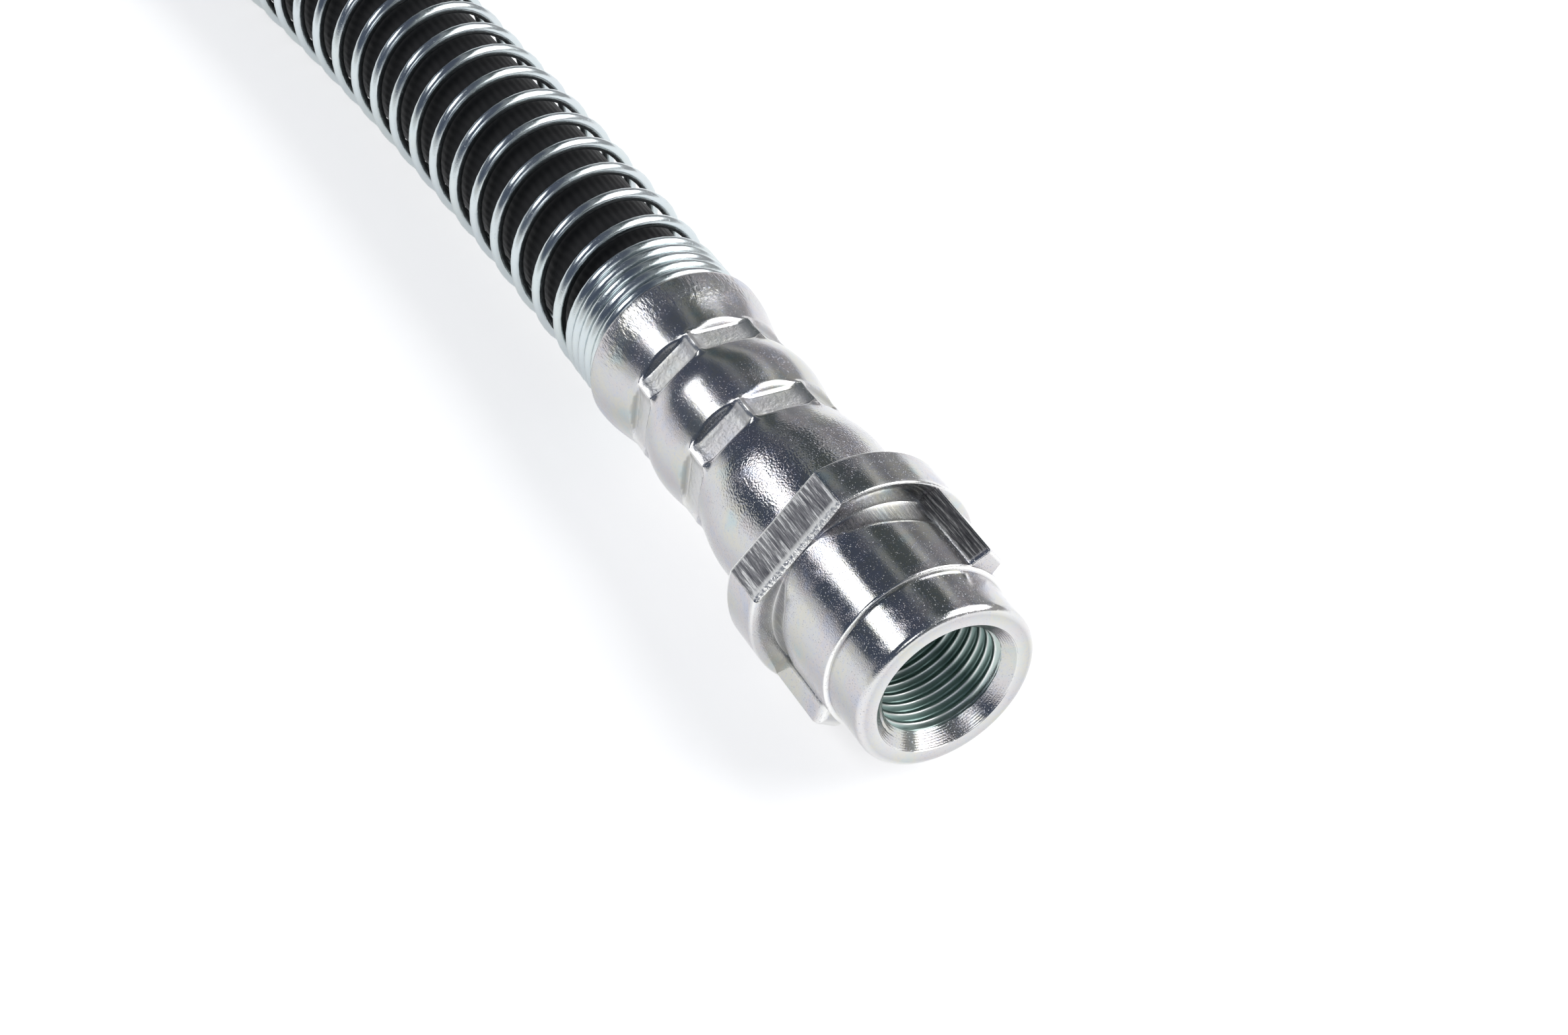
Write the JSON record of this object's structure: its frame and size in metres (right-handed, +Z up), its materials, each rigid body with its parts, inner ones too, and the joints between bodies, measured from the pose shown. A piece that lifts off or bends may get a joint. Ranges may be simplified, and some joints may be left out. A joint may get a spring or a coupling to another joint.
{
  "type": "brake hose",
  "caption": "Short rubber brake hose in an open wire spring guard, with a plated female end fitting crimped on each end.",
  "frame": {"origin": "centre of the bounding box of the hose as it lies, on the surface it lies on", "axes": "+X along the near end fitting's axis, out of its mouth; +Y across the hose, to the side it starts from before it bends; +Z up from the surface it lies on"},
  "size_m": [0.2296, 0.0476, 0.018],
  "materials": {
    "zinc_plate": "bright zinc plate with a faint iridescence",
    "spring_zinc": "plated spring wire, satin",
    "black_rubber": "matt with fine lengthwise ribs"
  },
  "bodies": {
    "root": {"near_fitting": "zinc_plate", "far_fitting": "zinc_plate", "rubber_hose": "black_rubber", "spring_guard": "spring_zinc"}
  },
  "joints": []
}
